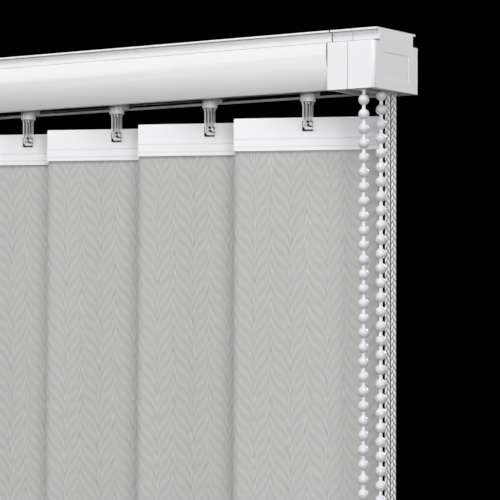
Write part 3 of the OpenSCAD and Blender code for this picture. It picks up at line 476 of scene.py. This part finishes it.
# a painted shade line at each step
for height in steps:
    off = add(tree, "ShaderNodeMath", {0: spot["Z"], 1: height}, operation="SUBTRACT")
    away = add(tree, "ShaderNodeMath", {0: off.outputs[0]}, operation="ABSOLUTE")
    step_shades.append(add(tree, "ShaderNodeMapRange", {"Value": away.outputs[0], "From Min": 0.0, "From Max": line_half,
                                                  "To Min": 1.0, "To Max": 0.0}, interpolation_type="SMOOTHSTEP"))
both = add(tree, "ShaderNodeMath", {0: step_shades[0].outputs["Result"], 1: step_shades[1].outputs["Result"]},
           operation="MAXIMUM")
shade = add(tree, "ShaderNodeMix", {"Factor": both.outputs[0], "A": to_linear("#F6F6F8"),
                                    "B": to_linear("#E3E3E5")}, data_type="RGBA")
tree.links.new(shade.outputs["Result"], shader.inputs["Base Color"])
dress(hanger_white, *one_per_slat("hanger"))
soften(0.2 * MM, *one_per_slat("hanger"))

# Slats: stiffened polyester woven in a herringbone of wheat ears, light grey. Each is held
# in its hanger's slot and folded up round a flat weight at the foot.
slat_centres = (np.arange(slat_count) * slat_step + slat_first) * MM
slat_half = 44.5 * MM
fabric_t = 0.5 * MM
slat_top, fold_top, foot = -59.4 * MM, -962.0 * MM, -1000.0 * MM
first_row, pocket_half, fold_back = slat_top - 2 * MM, 1.55 * MM, fabric_t * 1.1
rows_down, columns = 260, 24

# a row's height = place down the slat less a zigzag across it, steeper where it turns; its
# cosine gives the leaves, and short threads run along them, strongest at the turns
ear, up_share, ear_shift, ear_rise, ear_bend, row_high = 22.2, 0.443, 32.2, 21.0, 0.6, 7.45
patch, unevenness, yarn_height = 9.0, 1.6, 1.6
# threads per mm: along the leaves, all over, and the single ones
leaf_threads, yarn_threads, single_threads = (0.62, 0.2, 1.0), (1.1, 0.5, 1.0), (1.25, 0.17, 1.0)
# how strongly the threads show, from the middle of a leaf to its turns
stroke_span, stroke_gain, single_span, single_gain = (0.15, 0.5), (2.5, 8.0), (0.2, 0.42), (0.25, 2.4)
on_top, dipped, tone_span = (0.60, 0.70), (0.40, 0.30), (-3.0, 4.6)
cloth, tree, shader = finish_of("wheat_herringbone_polyester", "#BDBDBC", Roughness=0.85, Sheen_Weight=0.1)
place = add(tree, "ShaderNodeUVMap", uv_map="length")
spot = add(tree, "ShaderNodeSeparateXYZ", {"Vector": place.outputs["UV"]}).outputs
ears = add(tree, "ShaderNodeMath", {0: spot["X"], 1: 1 / ear, 2: ear_shift / ear}, operation="MULTIPLY_ADD")
in_ear = add(tree, "ShaderNodeMath", {0: ears.outputs[0]}, operation="FRACT")
rising = add(tree, "ShaderNodeMath", {0: in_ear.outputs[0], 1: 1 / up_share}, operation="MULTIPLY")
falling = add(tree, "ShaderNodeMath", {0: in_ear.outputs[0], 1: -1 / (1 - up_share), 2: 1 / (1 - up_share)},
              operation="MULTIPLY_ADD")
share = add(tree, "ShaderNodeMath", {0: rising.outputs[0], 1: falling.outputs[0]}, operation="MINIMUM")
circle = add(tree, "ShaderNodeMath", {0: share.outputs[0], 1: 2 * math.pi}, operation="MULTIPLY")
curl = add(tree, "ShaderNodeMath", {0: circle.outputs[0]}, operation="SINE")
bent = add(tree, "ShaderNodeMath", {0: curl.outputs[0], 1: ear_bend / (2 * math.pi), 2: share.outputs[0]},
           operation="MULTIPLY_ADD")
wander = add(tree, "ShaderNodeTexNoise", {"Vector": place.outputs["UV"], "Scale": 1 / patch, "Detail": 2.0})
uneven = add(tree, "ShaderNodeMath", {0: wander.outputs["Fac"], 1: unevenness, 2: spot["Y"]},
             operation="MULTIPLY_ADD")
climb = add(tree, "ShaderNodeMath", {0: bent.outputs[0], 1: -ear_rise, 2: uneven.outputs[0]},
            operation="MULTIPLY_ADD")
turning = add(tree, "ShaderNodeMath", {0: climb.outputs[0], 1: 2 * math.pi / row_high}, operation="MULTIPLY")
leaf = add(tree, "ShaderNodeMath", {0: turning.outputs[0]}, operation="COSINE")
centred = add(tree, "ShaderNodeMath", {0: share.outputs[0], 1: -0.5}, operation="ADD")
off_middle = add(tree, "ShaderNodeMath", {0: centred.outputs[0]}, operation="ABSOLUTE")
seam = add(tree, "ShaderNodeMapRange", {"Value": off_middle.outputs[0], "From Min": stroke_span[0],
                                        "From Max": stroke_span[1], "To Min": stroke_gain[0],
                                        "To Max": stroke_gain[1]})
along_leaf = add(tree, "ShaderNodeCombineXYZ", {"X": climb.outputs[0], "Y": spot["X"]})
long_way = add(tree, "ShaderNodeMapping", {"Vector": along_leaf.outputs["Vector"], "Scale": leaf_threads})
thread = add(tree, "ShaderNodeTexNoise", {"Vector": long_way.outputs["Vector"], "Scale": 1.0, "Detail": 2.0})
stroke = add(tree, "ShaderNodeMath", {0: thread.outputs["Fac"], 1: -0.5}, operation="ADD")
fine_way = add(tree, "ShaderNodeMapping", {"Vector": place.outputs["UV"], "Scale": yarn_threads})
yarn = add(tree, "ShaderNodeTexNoise", {"Vector": fine_way.outputs["Vector"], "Scale": 1.0, "Detail": 3.0})
woven = add(tree, "ShaderNodeMath", {0: yarn.outputs["Fac"], 1: yarn_height, 2: leaf.outputs[0]},
            operation="MULTIPLY_ADD")
relief = add(tree, "ShaderNodeMath", {0: stroke.outputs[0], 1: seam.outputs["Result"], 2: woven.outputs[0]},
             operation="MULTIPLY_ADD")
# single threads that lie on top or dip under near the turns, drawn 0.7 mm wide instead of 0.3
thread_way = add(tree, "ShaderNodeMapping", {"Vector": place.outputs["UV"], "Scale": single_threads})
single = add(tree, "ShaderNodeTexNoise", {"Vector": thread_way.outputs["Vector"], "Scale": 1.0, "Detail": 0.0})
over_it = add(tree, "ShaderNodeMapRange", {"Value": single.outputs["Fac"], "From Min": on_top[0],
                                           "From Max": on_top[1]})
dips = add(tree, "ShaderNodeMapRange", {"Value": single.outputs["Fac"], "From Min": dipped[0],
                                        "From Max": dipped[1]})
lie = add(tree, "ShaderNodeMath", {0: over_it.outputs["Result"], 1: dips.outputs["Result"]}, operation="SUBTRACT")
at_turn = add(tree, "ShaderNodeMapRange", {"Value": off_middle.outputs[0], "From Min": single_span[0],
                                           "From Max": single_span[1], "To Min": single_gain[0],
                                           "To Max": single_gain[1]})
crisp = add(tree, "ShaderNodeMath", {0: lie.outputs[0], 1: at_turn.outputs["Result"], 2: relief.outputs[0]},
            operation="MULTIPLY_ADD")
tone = add(tree, "ShaderNodeMapRange", {"Value": crisp.outputs[0], "From Min": tone_span[0], "From Max": tone_span[1]})
shade = add(tree, "ShaderNodeMix", {"Factor": tone.outputs["Result"], "A": to_linear("#B0B0AF"),
                                    "B": to_linear("#CECECD")}, data_type="RGBA")
tree.links.new(shade.outputs["Result"], shader.inputs["Base Color"])
bump = add(tree, "ShaderNodeBump", {"Height": relief.outputs[0], "Strength": 0.3, "Distance": 0.1 * MM})
tree.links.new(bump.outputs["Normal"], shader.inputs["Normal"])
dress(steel, *one_per_slat("weight"))
# the pocket round the weight, as shares of its half thickness and heights, down its front and up its back
swell_at, full_at, round_at, low_at = fold_top - 3 * MM, fold_top - 6 * MM, foot + 1.5 * MM, foot + 0.4 * MM
pocket = ((-0.5, swell_at), (-1.0, full_at), (-1.0, round_at), (-0.6, low_at),
          (0.6, low_at), (1.0, round_at), (1.0, full_at), (0.6, swell_at))
spine = np.concatenate([
    [[0, slat_top]],
    np.column_stack([np.zeros(rows_down), np.linspace(first_row, fold_top, rows_down)]),
    np.array(pocket) * (pocket_half, 1.0),
    [[fold_back, fold_top]]])
run = np.concatenate([[0], np.cumsum(np.linalg.norm(np.diff(spine, axis=0), axis=1))])
# a line down the slat and round its weight, carried straight across the width
u, v = np.meshgrid(np.linspace(-slat_half, slat_half, columns), np.arange(len(spine)), indexing="xy")
for k, x in enumerate(slat_centres, 1):
    points = np.stack([x + u * math.cos(slat_angle) - spine[v, 0] * math.sin(slat_angle),
                       u * math.sin(slat_angle) + spine[v, 0] * math.cos(slat_angle),
                       spine[v, 1]], axis=-1)
    uv = np.stack([u / MM, -run[v] / MM], axis=-1).reshape(-1, 2)
    piece = surface(f"slat_{k}_fabric", points.reshape(-1, 3).tolist(),
                    grid_faces(len(spine), columns, False).tolist(), cloth, uv)
    thick = piece.modifiers.new("thickness", "SOLIDIFY")
    thick.thickness = fabric_t
    thick.offset = 0
    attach(piece, f"vane_{k}")
    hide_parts(f"slat_{k}")

# Studio: a black surround, a pale floor under the blind, and six large soft lights, most of them
# in front and above, one behind.
world = bpy.data.worlds.new("dark_studio")
world.use_nodes = True
world.node_tree.nodes["Background"].inputs["Color"].default_value = (0, 0, 0, 1)
bpy.context.scene.world = world
bpy.context.scene.view_settings.view_transform = "Standard"
floor_half, floor_z = 0.4, -1.06
pale = finish_of("pale_floor", "#D2D2D0", Roughness=0.8)[0]
floor = surface("floor", [(-floor_half, -floor_half, floor_z), (floor_half, -floor_half, floor_z),
                          (floor_half, floor_half, floor_z), (-floor_half, floor_half, floor_z)],
                [[0, 1, 2, 3]], pale)
aim = np.array([0.0, 0.0, -0.15])
# name, place, width and height in metres, and watts
softboxes = (("front_softbox", (2.46, -3.15, 0.10), 2.0, 0.9, 72.0),
             ("overhead_softbox", (1.44, -2.13, 2.91), 2.8, 1.8, 60.0),
             ("side_softbox", (3.96, -0.14, 0.41), 2.0, 2.2, 33.0),
             ("left_softbox", (-2.42, -3.10, 0.54), 2.0, 1.2, 28.0),
             ("upper_left_softbox", (-1.58, -2.73, 2.31), 2.2, 1.2, 48.0),
             ("back_softbox", (0.4, 3.8, 1.6), 2.2, 1.2, 120.0))
for name, place, width, height, power in softboxes:
    light = bpy.data.lights.new(name, "AREA")
    light.shape = "RECTANGLE"
    light.size, light.size_y = width, height
    light.energy = power
    back = np.array(place) - aim
    back /= np.linalg.norm(back)
    flank = np.cross(upright, back)
    flank /= np.linalg.norm(flank)
    stand(bpy.data.objects.new(name, light), flank, np.cross(back, flank), back, place)
